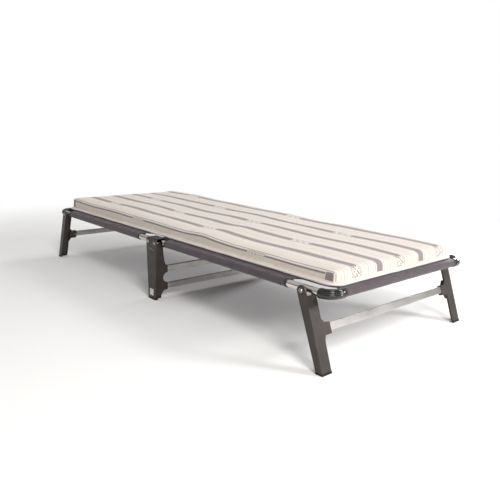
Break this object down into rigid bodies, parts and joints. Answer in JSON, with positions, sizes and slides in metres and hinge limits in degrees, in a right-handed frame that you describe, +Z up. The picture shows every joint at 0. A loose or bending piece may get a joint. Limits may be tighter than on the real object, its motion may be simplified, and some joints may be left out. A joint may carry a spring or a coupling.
{
  "type": "folding cot",
  "caption": "Folding guest bed: charcoal fabric deck on a chrome tube frame that folds in half, splayed end legs, fixed centre legs and a loose striped foam mattress.",
  "frame": {"origin": "on the floor, under the middle of the cot", "axes": "+X along the cot towards its foot end, +Y across it towards the far side, +Z up"},
  "size_m": [1.9339, 0.8246, 0.319],
  "materials": {
    "chrome_tube": "polished",
    "satin_bar": "satin",
    "steel_fixings": "zinc-plated, bright",
    "moulded_plastic": "dark brown-black, fine matt texture",
    "black_plastic": "black, semi-gloss",
    "pad_rubber": "matt",
    "deck_fabric": "close-woven polyester, charcoal",
    "ticking": "woven ticking, cream with grey stripes",
    "border_fabric": "woven, cream",
    "foam": "soft foam, hidden"
  },
  "bodies": {
    "centre_frame": {"centre_leg_near": "moulded_plastic", "centre_leg_far": "moulded_plastic", "centre_bar_upper": "satin_bar", "centre_bar_lower": "satin_bar", "centre_screw_upper_near": "steel_fixings", "centre_screw_upper_far": "steel_fixings", "centre_screw_lower_near": "steel_fixings", "centre_screw_lower_far": "steel_fixings", "centre_foot_pad_near": "pad_rubber", "centre_foot_pad_far": "pad_rubber", "hinge_cover_near": "black_plastic", "hinge_cover_far": "black_plastic", "hinge_pin_head_near": "steel_fixings", "hinge_pin_head_far": "steel_fixings", "hinge_pin_foot_near": "steel_fixings", "hinge_pin_foot_far": "steel_fixings", "deck_centre_strip": "deck_fabric"},
    "head_half": {"head_deck": "deck_fabric", "head_end_rail": "chrome_tube", "head_side_rail_near": "chrome_tube", "head_side_rail_far": "chrome_tube", "head_corner_cap_near": "black_plastic", "head_corner_cap_far": "black_plastic", "head_rail_plug_near": "black_plastic", "head_rail_plug_far": "black_plastic", "head_leg_pin_near": "steel_fixings", "head_leg_pin_far": "steel_fixings"},
    "head_legs": {"head_crossbar": "satin_bar", "head_leg_near": "moulded_plastic", "head_leg_far": "moulded_plastic", "head_leg_pad_near": "pad_rubber", "head_leg_pad_far": "pad_rubber", "head_crossbar_screw_near": "steel_fixings", "head_crossbar_screw_far": "steel_fixings"},
    "foot_half": {"foot_deck": "deck_fabric", "foot_end_rail": "chrome_tube", "foot_side_rail_near": "chrome_tube", "foot_side_rail_far": "chrome_tube", "foot_corner_cap_near": "black_plastic", "foot_corner_cap_far": "black_plastic", "foot_rail_plug_near": "black_plastic", "foot_rail_plug_far": "black_plastic", "foot_leg_pin_near": "steel_fixings", "foot_leg_pin_far": "steel_fixings"},
    "foot_legs": {"foot_crossbar": "satin_bar", "foot_leg_near": "moulded_plastic", "foot_leg_far": "moulded_plastic", "foot_leg_pad_near": "pad_rubber", "foot_leg_pad_far": "pad_rubber", "foot_crossbar_screw_near": "steel_fixings", "foot_crossbar_screw_far": "steel_fixings"},
    "latch": {"fold_latch": "black_plastic"},
    "mattress": {"mattress_cover": "ticking", "mattress_core": "foam", "mattress_base": "border_fabric"}
  },
  "joints": [
    {"name": "foot_fold", "type": "hinge", "parent": "centre_frame", "child": "foot_half", "pos_m": [0.0254, 0, 0.247], "axis": [0, 1, 0], "range_deg": [0, 90]},
    {"name": "head_fold", "type": "hinge", "parent": "centre_frame", "child": "head_half", "pos_m": [-0.0254, 0, 0.247], "axis": [0, -1, 0], "range_deg": [0, 90]},
    {"name": "foot_leg_fold", "type": "hinge", "parent": "foot_half", "child": "foot_legs", "pos_m": [0.856, 0, 0.247], "axis": [0, 1, 0], "range_deg": [0, 108.4]},
    {"name": "head_leg_fold", "type": "hinge", "parent": "head_half", "child": "head_legs", "pos_m": [-0.856, 0, 0.247], "axis": [0, -1, 0], "range_deg": [0, 108.4]},
    {"name": "latch_swing", "type": "hinge", "parent": "head_half", "child": "latch", "pos_m": [-0.95, 0, 0.247], "axis": [0, 1, 0], "range_deg": [0, 90]},
    {"name": "mattress_lift", "type": "slide", "parent": "centre_frame", "child": "mattress", "axis": [0, 0, 1], "range_m": [0, 0.3]}
  ]
}
